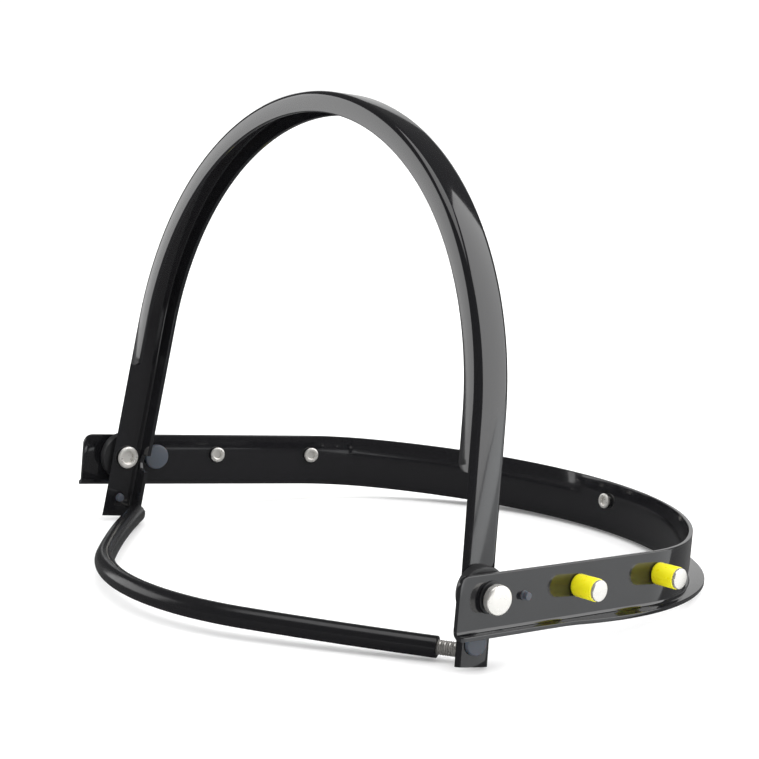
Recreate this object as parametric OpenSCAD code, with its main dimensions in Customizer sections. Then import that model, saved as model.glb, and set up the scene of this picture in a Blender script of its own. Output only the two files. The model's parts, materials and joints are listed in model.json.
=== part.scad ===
// Face shield bracket for a hard hat: a channel arch that goes over the crown, a visor band
// hinged to it at the ears, and a sprung retaining bow that goes under the rear brim.
// +X is the wearer's right, +Y is forward, +Z is up. The origin is the middle of the footprint
// on the surface that the bracket stands on, with the band's front lip and the arch's two legs
// touching that surface.

/* [Visor band] */
// Distance forward from the hinge axis to the band's outer face
band_reach = 149; // [146:0.5:151]
// Height of the band above the hinge axis
band_above = 7.5; // [7:0.5:8.5]
// Depth of the band below the hinge axis
band_below = 12.5; // [11.5:0.5:13]
// Length of the band behind the hinge axis
band_tail = 14; // [12:0.5:16]
// Radius of the band's front
front_r = 122; // [118:1:126]
// Angle that half of the front arc takes up
front_angle = 51; // [50:0.5:54]
// Radius of the corners between the front and the flanks
corner_r = 57; // [50:1:60]
// Angle at which the straight flanks widen towards the rear
flank_angle = 9.6; // [9:0.1:10.5]
// Thickness of the sheet metal
sheet = 1.5; // [1.2:0.1:1.6]
// Radius of the arc that the front lip is cut to
lip_r = 116.5; // [116:0.5:120]
// Distance from the hinge axis to the centre of that arc
lip_centre = 42.3; // [38:0.1:43]

/* [Helmet arch] */
// Height of the arch's crown above the hinge axis
arch_height = 148.7; // [146:0.1:151]
// Radius of the arch's crown
crown_r = 111; // [109:0.5:113]
// Angle that half of the crown arc takes up
crown_angle = 33.6; // [33:0.2:34.4]
// Radius of the arch's shoulders
shoulder_r = 104.3; // [103:0.1:105]
// Angle at which the legs splay outwards
leg_splay = 6.2; // [5.8:0.1:6.4]
// Length of the legs below the hinge axis
leg_below = 23.5; // [23:0.5:25]
// Width of the channel behind its middle line
arch_rear = 6; // [5.5:0.5:6.5]
// Width of the channel in front of its middle line
arch_fore = 7; // [6.5:0.5:7.5]
// Depth of the channel's two flanges
arch_depth = 7.5; // [7:0.5:8]
// Forward lean of the arch, measured from square to the band
arch_lean = 3.75; // [2:0.25:5]
// Height above the hinge axis at which the rear flange ends
rear_flange_end = 37; // [33:1:42]

/* [Hinges] */
// Radius of the friction discs between the band and the arch
disc_r = 9; // [8.5:0.25:10.25]
// Radius of the hinge rivets' shanks
hinge_shank_r = 2.5; // [2.2:0.1:2.7]
// Radius of the hinge rivets' heads
hinge_head_r = 4.85; // [4.5:0.05:5.2]

/* [Visor studs] */
// Outer radius of the stud sleeves, which the visor's holes fit over
sleeve_r = 3.8; // [3.6:0.1:4.2]
// Length of the stud sleeves
sleeve_len = 8.7; // [8:0.1:9.5]
// Distance along the band from the hinge axis to the rear studs
rear_stud_at = 41; // [38:0.5:44]
// Distance along the band from the hinge axis to the second studs
fore_stud_at = 81.5; // [78:0.5:84]

/* [Retaining bow] */
// Radius of the middle of the bow
bow_r = 83; // [80:1:85]
// Angle that half of that middle arc takes up
bow_angle = 34.5; // [34:0.5:35]
// Radius of the nearly straight sides of the bow
bow_side_r = 660; // [500:10:900]
// Outer radius of the plastic tube on the spring
tube_r = 3.6; // [3.4:0.1:3.7]
// Outer radius of the spring
spring_r = 2.5; // [2.3:0.1:2.6]
// Downward tilt of the bow from the band's plane
bow_droop = 1; // [0:0.25:2]
// Length of bare spring at the wearer's right end
bare_right = 12.4; // [9:0.2:16]
// Length of bare spring at the wearer's left end
bare_left = 4.4; // [4.4:0.2:9]

/* [Hidden] */
$fn = 48;

// Clearances
fit = 0.05;        // a turning or sliding fit, on the radius
seat_gap = 0.03;   // between faces that bear on each other
far = 400;         // larger than the whole bracket
through_cut = 10;  // length of a cut through one sheet

// Finishes
black_paint = [0.05, 0.05, 0.055];
black_plastic = [0.09, 0.09, 0.10];
nickel = [0.80, 0.79, 0.76];
yellow_plastic = [0.93, 0.86, 0.05];
milky_nylon = [0.45, 0.49, 0.56];

// The band's bends
bend_in = 1.2;                    // inner radius of the bend at the band's lower edge
bend_out = bend_in + sheet;
hem_reach = 2.8;                  // width of the turned hem along the flanks
tail_round = 3.5;                 // rounding of the tail's upper corner

// The arch's bends
arch_bend = 2.2;
flange_round = 4;                 // rounding of the rear flange's end
notch_r = 3.2;                    // cut in the forward flange beside the hinge rivet
notch_in = 1.7;                   // its centre's distance in from the flange's edge
notch_drop = 0.8;                 // and its depth below the hinge axis

// The studs
stud_shank_r = 2;
stud_cap_r = 3.55;
stud_cap_t = 1.2;
stud_cap_edge = 0.35;
stud_bore_r = 1.5;
stud_bore_depth = 0.9;
stud_flare_r = 2.9;
stud_flare_t = 1;
stud_tube = 0.8;                  // the rivet's tubular end stands off the band by this much
sleeve_base_round = 1;

// Points and directions along the band's outer face. The angle at each point is that of the
// outward direction, measured from straight ahead.
front_x = front_r * sin(front_angle);
front_y = band_reach - front_r * (1 - cos(front_angle));
side_angle = 90 - flank_angle;
corner_x = front_x + corner_r * (sin(side_angle) - sin(front_angle));
corner_y = front_y - corner_r * (cos(front_angle) - cos(side_angle));
corner_start = corner_y / cos(flank_angle);
band_half = corner_x + corner_y * tan(flank_angle);   // half of the width at the hinge axis

// Place on the band's outer face, s mm along it from the hinge axis: [x, y, outward angle]
function band_at(s) =
    s <= corner_start
        ? [band_half - s * sin(flank_angle), s * cos(flank_angle), side_angle]
        : let (a = side_angle - (s - corner_start) / corner_r * 180 / PI)
          [corner_x - corner_r * (sin(side_angle) - sin(a)),
           corner_y + corner_r * (cos(a) - cos(side_angle)), a];

// Points along the arch's outer face
crown_x = crown_r * sin(crown_angle);
crown_z = arch_height - crown_r * (1 - cos(crown_angle));
leg_angle = 90 - leg_splay;
shoulder_x = crown_x + shoulder_r * (sin(leg_angle) - sin(crown_angle));
shoulder_z = crown_z - shoulder_r * (cos(crown_angle) - cos(leg_angle));
function leg_x(z) = shoulder_x + (shoulder_z - z) * tan(leg_splay);

// The hooks of the bow
hook_below = 20.5;                // depth of the hook holes below the hinge axis
hook_hole_r = 1.5;
hook_ring_r = 2.4;
hook_wire_r = 0.5;
hook_fore = arch_fore - sheet / 2;
hook_x = leg_x(-hook_below) - arch_depth + 0.4;   // just clear of the flange's free edge
hook_hole_x = hook_x + hook_ring_r;
hook_y = hook_fore * cos(arch_lean) - hook_below * sin(arch_lean);
hook_z = -hook_fore * sin(arch_lean) - hook_below * cos(arch_lean);

// The bow's sides are arcs so wide that they are almost straight
bow_mid_x = bow_r * sin(bow_angle);
bow_end_angle = asin(sin(bow_angle) + (hook_x - bow_mid_x) / bow_side_r);
bow_depth = bow_r * (1 - cos(bow_angle)) + bow_side_r * (cos(bow_angle) - cos(bow_end_angle));

// How the bracket stands: nose down, on the legs' inner front corners and the front of the lip
leg_corner_u = arch_fore;
leg_corner_v = -leg_below - arch_depth * sin(leg_splay);
leg_corner_y = leg_corner_u * cos(arch_lean) + leg_corner_v * sin(arch_lean);
leg_corner_z = -leg_corner_u * sin(arch_lean) + leg_corner_v * cos(arch_lean);
lip_front = lip_centre + lip_r;
nose_down = atan((-leg_corner_z - band_below) / (lip_front - leg_corner_y));
hinge_height = lip_front * sin(nose_down) + band_below * cos(nose_down);
stud_front = band_reach + sleeve_len + 2 * seat_gap + stud_cap_t;
front_end = max(lip_front * cos(nose_down) - (band_below - sheet) * sin(nose_down),
                stud_front * cos(nose_down) + stud_cap_r * sin(nose_down));
rear_y = hook_y - bow_depth * cos(bow_droop);
rear_z = hook_z - bow_depth * sin(bow_droop);
rear_end = rear_y * cos(nose_down) + rear_z * sin(nose_down) - tube_r;
foot_middle = (front_end + rear_end) / 2;

// ---- Frames ----

// Band frame: origin in the middle of the hinge axis, band level
module in_band() {
    translate([0, -foot_middle, hinge_height]) rotate([-nose_down, 0, 0]) children();
}

module in_arch() {
    in_band() rotate([-arch_lean, 0, 0]) children();
}

module in_bow() {
    in_band() translate([0, hook_y, hook_z]) rotate([bow_droop, 0, 0]) children();
}

// Mirrors a part made for the wearer's right to the side asked for
module on_side(side) {
    mirror([side < 0 ? 1 : 0, 0, 0]) children();
}

// +Z of the children points along +X
module along_x() {
    rotate([0, 90, 0]) children();
}

// Square to the leg at this height, with +Z of the children pointing outwards
module on_leg(z) {
    translate([leg_x(z), 0, z]) rotate([0, 90 - leg_splay, 0]) children();
}

// Square to the band at s, with +Z of the children pointing outwards
module on_band(s, side) {
    p = band_at(s);
    on_side(side) translate([p[0], p[1], 0]) rotate([0, 0, 90 - p[2]]) along_x() children();
}

module on_front() {
    translate([0, band_reach, 0]) rotate([-90, 0, 0]) children();
}

// ---- Bent sheet ----

// Closed skin through a row of rings. In each ring, point i and the same point counted from
// the end lie across the sheet from each other.
module skin(rings) {
    n = len(rings[0]);
    last = (len(rings) - 1) * n;
    polyhedron(
        points = [for (ring = rings) each ring],
        faces = concat(
            [for (i = [0 : n / 2 - 2]) [n - 1 - i, n - 2 - i, i + 1, i]],
            [for (j = [0 : n : last - n]) for (i = [0 : n - 1])
                [j + i, j + (i + 1) % n, j + n + (i + 1) % n, j + n + i]],
            [for (i = [0 : n / 2 - 2])
                [last + i, last + i + 1, last + n - 2 - i, last + n - 1 - i]]));
}

function backwards(list) = [for (i = [len(list) - 1 : -1 : 0]) list[i]];

// A half path that begins in the middle, mirrored to make the whole path
function both_sides(half) =
    concat([for (i = [len(half) - 1 : -1 : 1]) [-half[i][0], half[i][1], -half[i][2]]], half);

// ---- Visor band ----

// From the middle of the front to the right-hand tail: [x, y, outward angle]
band_path = concat(
    [for (i = [0 : 16]) let (a = front_angle * i / 16)
        [front_r * sin(a), band_reach - front_r * (1 - cos(a)), a]],
    [for (i = [1 : 6]) let (a = front_angle + (side_angle - front_angle) * i / 6)
        [front_x + corner_r * (sin(a) - sin(front_angle)),
         front_y - corner_r * (cos(front_angle) - cos(a)), a]],
    [for (i = [7 : -1 : 0]) band_at(corner_start * i / 8)],
    [band_at(-band_tail)]
);

// Width of the lip: the hem's, or out to the front lip's arc where that is wider
function lip_at(p) =
    let (out_x = sin(p[2]), out_y = cos(p[2]), away_y = p[1] - lip_centre)
    let (along = p[0] * out_x + away_y * out_y)
    let (inside = lip_r * lip_r - p[0] * p[0] - away_y * away_y)
    let (reach = inside > 0 ? sqrt(along * along + inside) - along : 0)
    max(hem_reach, reach);

// One face of the sheet from the top edge down and out to the lip's edge, as [out, up] points
function band_face(x, r, lip) =
    let (z = bend_out - band_below)
    concat([[x, band_above]],
           [for (i = [0 : 4]) let (a = 180 + 22.5 * i) [bend_in + r * cos(a), z + r * sin(a)]],
           [[lip, z - r]]);

function band_ring(p) =
    let (lip = lip_at(p))
    let (chain = concat(band_face(0, bend_in, lip), backwards(band_face(-sheet, bend_out, lip))))
    [for (q = chain) [p[0] + q[0] * sin(p[2]), p[1] + q[0] * cos(p[2]), q[1]]];

// Cuts a hole through the band, centred s mm along it and a little below its middle plane
module band_hole(s, side, r, drop = 0) {
    on_band(s, side) translate([drop, 0, -through_cut / 2]) cylinder(r = r, h = through_cut);
}

// Rounds the tail's upper corner
module tail_corner(side) {
    on_band(-band_tail, side) translate([-band_above, 0, -through_cut / 2])
        linear_extrude(through_cut) difference() {
            translate([-1, -1]) square(tail_round + 1);
            translate([tail_round, tail_round]) circle(tail_round);
        }
}

module visor_band() {
    color(black_paint) in_band() difference() {
        skin([for (p = both_sides(band_path)) band_ring(p)]);
        for (side = [-1, 1]) {
            tail_corner(side);
            on_side(side) along_x() cylinder(r = hinge_shank_r + fit, h = far);
            band_hole(button_at, side, button_stem_r + fit, button_drop);
            band_hole(rear_stud_at, side, stud_shank_r + fit);
            band_hole(fore_stud_at, side, stud_shank_r + fit);
        }
        on_front() translate([0, 0, -through_cut / 2])
            cylinder(r = stud_shank_r + fit, h = through_cut);
    }
}

// ---- Helmet arch ----

// From the middle of the crown to the end of the right leg: [x, z, outward angle]
arch_path = concat(
    [for (i = [0 : 8]) let (a = crown_angle * i / 8)
        [crown_r * sin(a), arch_height - crown_r * (1 - cos(a)), a]],
    [for (i = [1 : 12]) let (a = crown_angle + (leg_angle - crown_angle) * i / 12)
        [crown_x + shoulder_r * (sin(a) - sin(crown_angle)),
         crown_z - shoulder_r * (cos(crown_angle) - cos(a)), a]],
    [[leg_x(-leg_below), -leg_below, leg_angle]]
);

// One face of the channel from the front flange's edge to the rear one's, as [out, forward].
// inset is 0 for the outer face and the sheet's thickness for the inner one.
function channel_face(inset) =
    let (r = arch_bend - inset, fore = arch_fore - arch_bend, rear = arch_rear - arch_bend)
    concat([[-arch_depth, arch_fore - inset]],
           [for (i = [0 : 3]) [r * sin(30 * i) - arch_bend, fore + r * cos(30 * i)]],
           [for (i = [0 : 3]) [r * cos(30 * i) - arch_bend, -rear - r * sin(30 * i)]],
           [[-arch_depth, inset - arch_rear]]);

function arch_ring(p) =
    [for (q = concat(channel_face(0), backwards(channel_face(sheet))))
        [p[0] + q[0] * sin(p[2]), q[1], p[1] + q[0] * cos(p[2])]];

// The lower leg has no rear flange. This takes it away, and rounds the corner where it ends.
module rear_flange_cut() {
    translate([0, arch_bend - arch_rear, 0]) rotate([90, 0, 0]) linear_extrude(20)
        translate([leg_x(rear_flange_end), rear_flange_end]) rotate([0, 0, leg_splay]) {
            translate([-20, -80]) square([20 - sheet - 0.05, 80]);
            translate([-arch_depth, 0]) difference() {
                translate([-1, -1]) square(flange_round + 1);
                translate([flange_round, flange_round]) circle(flange_round);
            }
        }
}

// Cut in the forward flange, for the rivet tool
module notch() {
    translate([leg_x(0) - arch_depth + notch_in, arch_fore / 2, -notch_drop])
        rotate([-90, 0, 0]) {
            cylinder(r = notch_r, h = through_cut);
            translate([-through_cut, -notch_r, 0])
                cube([through_cut, 2 * notch_r, through_cut]);
        }
}

module helmet_arch() {
    color(black_paint) in_arch() difference() {
        skin([for (p = both_sides(arch_path)) arch_ring(p)]);
        for (side = [-1, 1]) on_side(side) {
            rear_flange_cut();
            along_x() cylinder(r = hinge_shank_r + fit, h = far);
            on_leg(-button_below) translate([0, 0, -through_cut / 2])
                cylinder(r = button_stem_r + fit, h = through_cut);
            notch();
            translate([hook_hole_x, 0, -hook_below]) rotate([-90, 0, 0])
                cylinder(r = hook_hole_r, h = far);
        }
    }
}

// ---- Hinges ----

washer_t = 0.7;
washer_r = 5.3;
spacer_t = 1.1;
spacer_r = 4;
tilt_room = 0.5;                  // the washers and spacers lie on the tilted flanks
head_t = 2.4;
head_dome = 0.55;
head_edge = 0.6;
spacer_top = 2 * seat_gap + washer_t + spacer_t;
head_x = band_half + spacer_top * cos(flank_angle) + spacer_r * sin(flank_angle) + seat_gap;
flare_r = 4.3;
flare_t = 1.1;
flare_x = leg_x(flare_r) - sheet / cos(leg_splay) - seat_gap - flare_t;
hinge_bore_r = 2.3;
hinge_bore_depth = 1;

// Tubular rivet: a thick, slightly domed head outside, and a rolled flare on the leg
module hinge_rivet(side) {
    color(nickel) in_band() on_side(side) along_x() rotate_extrude() difference() {
        union() {
            translate([0, flare_x + 0.3]) square([hinge_shank_r, head_x - flare_x]);
            translate([0, head_x]) square([hinge_head_r, head_t - head_edge]);
            translate([0, head_x]) square([hinge_head_r - head_edge, head_t]);
            translate([hinge_head_r - head_edge, head_x + head_t - head_edge]) circle(head_edge);
            head_cap();
            translate([0, flare_x]) square([flare_r - flare_t / 2, flare_t]);
            translate([flare_r - flare_t / 2, flare_x + flare_t / 2]) circle(flare_t / 2);
        }
        translate([-1, flare_x - 1]) square([hinge_bore_r + 1, hinge_bore_depth + 1]);
        translate([-far, 0]) square([far, far]);
    }
}

// The shallow dome on the head
module head_cap() {
    w = hinge_head_r - head_edge;
    r = (w * w + head_dome * head_dome) / (2 * head_dome);
    intersection() {
        translate([0, head_x + head_t + head_dome - r]) circle(r, $fn = 180);
        translate([0, head_x + head_t - 0.01]) square([w, 2]);
    }
}

module hinge_spacer(side) {
    color(black_plastic) in_band() on_band(0, side)
        ring(spacer_r, 2 * seat_gap + washer_t, spacer_t);
}

module hinge_washer(side) {
    color(black_plastic) in_band() on_band(0, side) ring(washer_r, seat_gap, washer_t);
}

module ring(r, z, t) {
    translate([0, 0, z]) difference() {
        cylinder(r = r, h = t);
        translate([0, 0, -1]) cylinder(r = hinge_shank_r + tilt_room, h = t + 2);
    }
}

// Wedge shaped, so that its outer face stands square to the hinge axis. The tilted flank just
// clears its rim.
module friction_disc(side) {
    top = band_half - sheet / cos(flank_angle) - disc_r * tan(flank_angle) - seat_gap;
    chamfer = 0.8;
    color(black_plastic) in_arch() on_side(side) difference() {
        along_x() rotate_extrude() polygon([
            [hinge_shank_r + fit, leg_x(0) - 4], [disc_r, leg_x(0) - 4],
            [disc_r, top - chamfer], [disc_r - chamfer, top], [hinge_shank_r + fit, top]]);
        on_leg(0) translate([-far / 2, -far / 2, seat_gap - far]) cube([far, far, far]);
    }
}

// ---- Buttons ----

button_at = 15.5;                 // the band's buttons are this far along it from the hinge axis
button_drop = 0.9;                // and this far below the axis
button_below = 16;                // the legs' buttons are this far below it
button_stem_r = 1.6;
button_nib_r = 1.3;
button_edge = 0.4;
band_button_r = 4.7;
leg_button_r = 3.85;
band_button_t = 2;
leg_button_t = 1.6;

// Head against the sheet, stem through it and a thinner nib beyond. The sheet's face that the
// head bears on is at z = 0 and the head is above it.
module button(r, t, through, nib) {
    rotate_extrude() {
        translate([0, seat_gap]) square([r - button_edge, t]);
        translate([0, seat_gap + button_edge]) square([r, t - 2 * button_edge]);
        translate([r - button_edge, seat_gap + button_edge]) circle_right(button_edge);
        translate([r - button_edge, seat_gap + t - button_edge]) circle_right(button_edge);
        translate([0, -through]) square([button_stem_r, through + 0.1]);
        translate([0, -through - nib]) square([button_nib_r, nib + 0.1]);
    }
}

module circle_right(r) {
    intersection() {
        circle(r);
        translate([0, -r]) square([r, 2 * r]);
    }
}

module band_button(side) {
    color(milky_nylon) in_band() on_band(button_at, side) translate([button_drop, 0, -sheet])
        mirror([0, 0, 1]) button(band_button_r, band_button_t, sheet + 0.5, 1.7);
}

module leg_button(side) {
    color(milky_nylon) in_arch() on_side(side) on_leg(-button_below)
        button(leg_button_r, leg_button_t, sheet + 1.1, 0.6);
}

// ---- Visor studs ----

module stud_sleeve() {
    color(yellow_plastic) rotate_extrude() difference() {
        union() {
            translate([0, seat_gap]) square([sleeve_r - sleeve_base_round, sleeve_len]);
            translate([0, seat_gap + sleeve_base_round])
                square([sleeve_r, sleeve_len - sleeve_base_round]);
            translate([sleeve_r - sleeve_base_round, seat_gap + sleeve_base_round])
                circle(sleeve_base_round);
        }
        translate([-1, -1]) square([stud_shank_r + fit + 1, sleeve_len + 3]);
    }
}

module stud_rivet() {
    cap = sleeve_len + 2 * seat_gap;
    back = -sheet - seat_gap - stud_tube - stud_flare_t;
    color(nickel) rotate_extrude() difference() {
        union() {
            translate([0, back + 0.2]) square([stud_shank_r, cap - back]);
            translate([0, cap]) square([stud_cap_r, stud_cap_t - stud_cap_edge]);
            translate([0, cap]) square([stud_cap_r - stud_cap_edge, stud_cap_t]);
            translate([stud_cap_r - stud_cap_edge, cap + stud_cap_t - stud_cap_edge])
                circle_right(stud_cap_edge);
            translate([0, back]) square([stud_flare_r - stud_flare_t / 2, stud_flare_t]);
            translate([stud_flare_r - stud_flare_t / 2, back + stud_flare_t / 2])
                circle_right(stud_flare_t / 2);
        }
        translate([-1, back - 1]) square([stud_bore_r + 1, stud_bore_depth + 1]);
    }
}

// ---- Retaining bow ----

// From the middle of the bow to a place short of its right-hand hook: [x, y, outward angle]
function bow_half(bare) =
    let (stop = bow_end_angle - bare / bow_side_r * 180 / PI)
    concat([for (i = [0 : 8]) let (a = bow_angle * i / 8)
               [bow_r * sin(a), bow_r * (1 - cos(a)) - bow_depth, a]],
           [for (i = [1 : 5]) let (a = bow_angle + (stop - bow_angle) * i / 5)
               [bow_mid_x + bow_side_r * (sin(a) - sin(bow_angle)),
                bow_r * (1 - cos(bow_angle)) - bow_depth + bow_side_r * (cos(bow_angle) - cos(a)),
                a]]);

// The whole path, from the wearer's left to the right
function bow_path(bare_l, bare_r) =
    let (left = bow_half(bare_l))
    concat([for (i = [len(left) - 1 : -1 : 1]) [-left[i][0], left[i][1], -left[i][2]]],
           bow_half(bare_r));

// A round rod along the bow
module bow_rod(r, bare_l, bare_r) {
    sides = 20;
    skin([for (p = bow_path(bare_l, bare_r)) [for (i = [0 : sides - 1])
        let (a = (i + 0.5) * 360 / sides)
        [p[0] + r * cos(a) * sin(p[2]), p[1] - r * cos(a) * cos(p[2]), r * sin(a)]]]);
}

module bow_tube() {
    color(black_plastic) in_bow() difference() {
        bow_rod(tube_r, bare_left, bare_right);
        bow_rod(spring_r + 0.15, bare_left - 1, bare_right - 1);
    }
}

// The close-wound spring as a rod of its outer size, with a loop at each end
module bow_spring() {
    start = hook_ring_r + 0.2;
    color(nickel) in_bow() {
        bow_rod(spring_r, start, start);
        for (side = [-1, 1]) translate([side * hook_x, 0, 0])
            rotate_extrude() translate([hook_ring_r, 0]) circle(hook_wire_r);
    }
}

helmet_arch();
visor_band();
hinge_rivet(1);  // hinge_rivet_right
hinge_rivet(-1);  // hinge_rivet_left
hinge_spacer(1);  // hinge_spacer_right
hinge_spacer(-1);  // hinge_spacer_left
hinge_washer(1);  // hinge_washer_right
hinge_washer(-1);  // hinge_washer_left
friction_disc(1);  // friction_disc_right
friction_disc(-1);  // friction_disc_left
leg_button(1);  // leg_button_right
leg_button(-1);  // leg_button_left
band_button(1);  // band_button_right
band_button(-1);  // band_button_left
in_band() on_front() stud_sleeve();  // stud_sleeve_front
in_band() on_band(fore_stud_at, 1) stud_sleeve();  // stud_sleeve_fore_right
in_band() on_band(fore_stud_at, -1) stud_sleeve();  // stud_sleeve_fore_left
in_band() on_band(rear_stud_at, 1) stud_sleeve();  // stud_sleeve_rear_right
in_band() on_band(rear_stud_at, -1) stud_sleeve();  // stud_sleeve_rear_left
in_band() on_front() stud_rivet();  // stud_rivet_front
in_band() on_band(fore_stud_at, 1) stud_rivet();  // stud_rivet_fore_right
in_band() on_band(fore_stud_at, -1) stud_rivet();  // stud_rivet_fore_left
in_band() on_band(rear_stud_at, 1) stud_rivet();  // stud_rivet_rear_right
in_band() on_band(rear_stud_at, -1) stud_rivet();  // stud_rivet_rear_left
bow_spring();
bow_tube();
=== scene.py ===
"""Face shield bracket for a hard hat: its pieces, finishes, lights and camera."""

import json
import math

import bmesh
import bpy
from mathutils import Matrix, Vector


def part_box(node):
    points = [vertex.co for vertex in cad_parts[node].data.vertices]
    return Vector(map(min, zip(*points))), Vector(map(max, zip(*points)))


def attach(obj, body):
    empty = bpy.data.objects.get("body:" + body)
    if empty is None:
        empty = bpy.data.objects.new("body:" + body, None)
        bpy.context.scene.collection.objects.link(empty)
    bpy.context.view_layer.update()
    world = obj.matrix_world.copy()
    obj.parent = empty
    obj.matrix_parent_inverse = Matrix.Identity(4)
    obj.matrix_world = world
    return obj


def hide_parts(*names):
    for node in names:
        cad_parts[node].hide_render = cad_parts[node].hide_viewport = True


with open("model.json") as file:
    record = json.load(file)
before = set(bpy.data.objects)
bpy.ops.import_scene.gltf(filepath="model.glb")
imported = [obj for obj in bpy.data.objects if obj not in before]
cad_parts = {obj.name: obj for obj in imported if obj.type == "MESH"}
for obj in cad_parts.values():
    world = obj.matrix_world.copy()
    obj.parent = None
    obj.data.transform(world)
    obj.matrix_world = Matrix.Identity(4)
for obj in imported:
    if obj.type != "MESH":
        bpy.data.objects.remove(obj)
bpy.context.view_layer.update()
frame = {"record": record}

bl_info = {
    "name": "Face Shield Bracket",
    "version": (1, 0, 0),
    "blender": (4, 5, 0),
    "location": "View3D > Sidebar > Bracket",
    "description": "Builds a hard hat's face shield bracket with its finishes and studio",
    "category": "Add Mesh",
}

MM = 0.001
ROUND_STEPS = 3
FIT = 0.05 * MM
SEAT = 0.03 * MM  # the gap between faces that bear on each other

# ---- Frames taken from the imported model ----

MOUNTS = {mount["name"]: mount for mount in frame["record"]["mounts"]}
JOINTS = {joint["name"]: joint for joint in frame["record"]["behaviour"]["joints"]}

hinge_at = Vector(JOINTS["visor_hinge"]["pos_m"])
hook_at = Vector(JOINTS["bow_hinge"]["pos_m"])
band_ahead = Vector(MOUNTS["visor_stud_front"]["axis"])
arch_down = Vector(MOUNTS["helmet_seat"]["axis"])
nose_down = math.atan2(-band_ahead.z, band_ahead.y)
arch_tilt = math.atan2(-arch_down.y, -arch_down.z)
bow_droop = math.radians(1.0)

# Each frame has +X to the wearer's right. The band's has +Y ahead along the band, the arch's
# has +Z up along its legs, and the bow's has -Y to the rear along the bow.
IN_BAND = Matrix.Translation(hinge_at) @ Matrix.Rotation(-nose_down, 4, "X")
IN_ARCH = Matrix.Translation(hinge_at) @ Matrix.Rotation(-arch_tilt, 4, "X")
IN_BOW = Matrix.Translation(hook_at) @ Matrix.Rotation(bow_droop - nose_down, 4, "X")


# ---- Properties ----

def length(name, description, millimetres):
    """A length property whose default is given in millimetres."""
    return bpy.props.FloatProperty(
        name=name, description=description, default=millimetres * MM,
        min=0.0, unit="LENGTH", precision=5,
    )


def angle(name, description, degrees):
    """An angle property whose default is given in degrees."""
    return bpy.props.FloatProperty(
        name=name, description=description, default=math.radians(degrees),
        subtype="ANGLE",
    )


def colour(name, description, red, green, blue):
    """A linear colour property."""
    return bpy.props.FloatVectorProperty(
        name=name, description=description, subtype="COLOR", size=3,
        min=0.0, max=1.0, default=(red, green, blue),
    )


class BandSizes(bpy.types.PropertyGroup):
    """Sizes of the visor band."""

    reach: length("Reach", "From the hinge axis to the front's outer face", 149)
    above: length("Height Above", "Height above the hinge axis", 7.5)
    below: length("Depth Below", "Depth below the hinge axis", 12.5)
    tail: length("Tail", "Length behind the hinge axis", 14)
    tail_round: length("Tail Rounding", "Radius of the tail's upper corner", 3.5)
    heel_round: length("Heel Rounding", "Radius of the hem's corner at the tail", 1.2)
    front_r: length("Front Radius", "Radius of the front", 122)
    front_angle: angle("Front Angle", "Half of the front's arc", 51)
    corner_r: length("Corner Radius", "Radius between the front and the flanks", 57)
    flank_angle: angle("Flank Angle", "Angle at which the flanks widen", 9.6)
    sheet: length("Sheet", "Thickness of the sheet metal", 1.5)
    bend: length("Bend", "Inner radius of the bend at the lower edge", 1.2)
    hem: length("Hem", "Width of the turned-out hem along the flanks", 2.8)
    lip_r: length("Lip Radius", "Radius that the front lip is cut to", 116.5)
    lip_centre: length("Lip Centre", "Distance of that arc's centre ahead of the hinges", 42.3)
    edge: length("Edge", "Rounding of the sheet's edges", 0.3)


class ArchSizes(bpy.types.PropertyGroup):
    """Sizes of the helmet arch."""

    height: length("Height", "Height of the crown above the hinge axis", 148.7)
    crown_r: length("Crown Radius", "Radius of the crown", 111)
    crown_angle: angle("Crown Angle", "Half of the crown's arc", 33.6)
    shoulder_r: length("Shoulder Radius", "Radius of the shoulders", 104.3)
    splay: angle("Splay", "Angle at which the legs splay outwards", 6.2)
    below: length("Legs Below", "Length of the legs below the hinge axis", 23.5)
    rear: length("Rear Width", "Width of the channel behind its middle line", 6)
    fore: length("Fore Width", "Width of the channel ahead of its middle line", 7)
    depth: length("Depth", "Depth of the channel's flanges", 7.5)
    sheet: length("Sheet", "Thickness of the sheet metal", 1.5)
    bend: length("Bend", "Outer radius of the channel's bends", 2.2)
    flange_end: length("Flange End", "Height at which the rear flange ends", 37)
    flange_round: length("Flange Rounding", "Radius of that end's corner", 4)
    notch_r: length("Notch Radius", "Radius of the notch beside the hinge rivet", 3.2)
    notch_in: length("Notch Centre", "Notch centre's distance in from the edge", 1.7)
    notch_drop: length("Notch Drop", "Notch centre's depth below the hinge axis", 0.8)
    edge: length("Edge", "Rounding of the sheet's edges", 0.3)


class HingeSizes(bpy.types.PropertyGroup):
    """Sizes of the hinges."""

    disc_r: length("Disc Radius", "Radius of the friction discs", 9.0)
    head_r: length("Head Radius", "Radius of the rivet heads", 4.85)
    head_t: length("Head Thickness", "Thickness of the rivet heads", 2.4)
    dome: length("Dome", "Height of the dome on the rivet heads", 0.55)
    spacer_r: length("Spacer Radius", "Radius of the spacers", 4.0)
    spacer_t: length("Spacer Thickness", "Thickness of the spacers", 1.1)
    washer_r: length("Washer Radius", "Radius of the washers", 5.3)
    washer_t: length("Washer Thickness", "Thickness of the washers", 0.7)
    tilt_room: length("Tilt Room", "Room in their bores for the flanks' tilt", 0.5)
    shank_r: length("Shank Radius", "Radius of the rivet shanks", 2.5)
    flare_r: length("Flare Radius", "Radius of the rolled ends inside", 4.3)
    bore_r: length("Bore Radius", "Radius of the recesses in their rolled ends", 2.3)
    bore_depth: length("Bore Depth", "Depth of those recesses", 1.0)
    flare_t: length("Flare Thickness", "Thickness of the rolled ends", 1.1)


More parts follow.
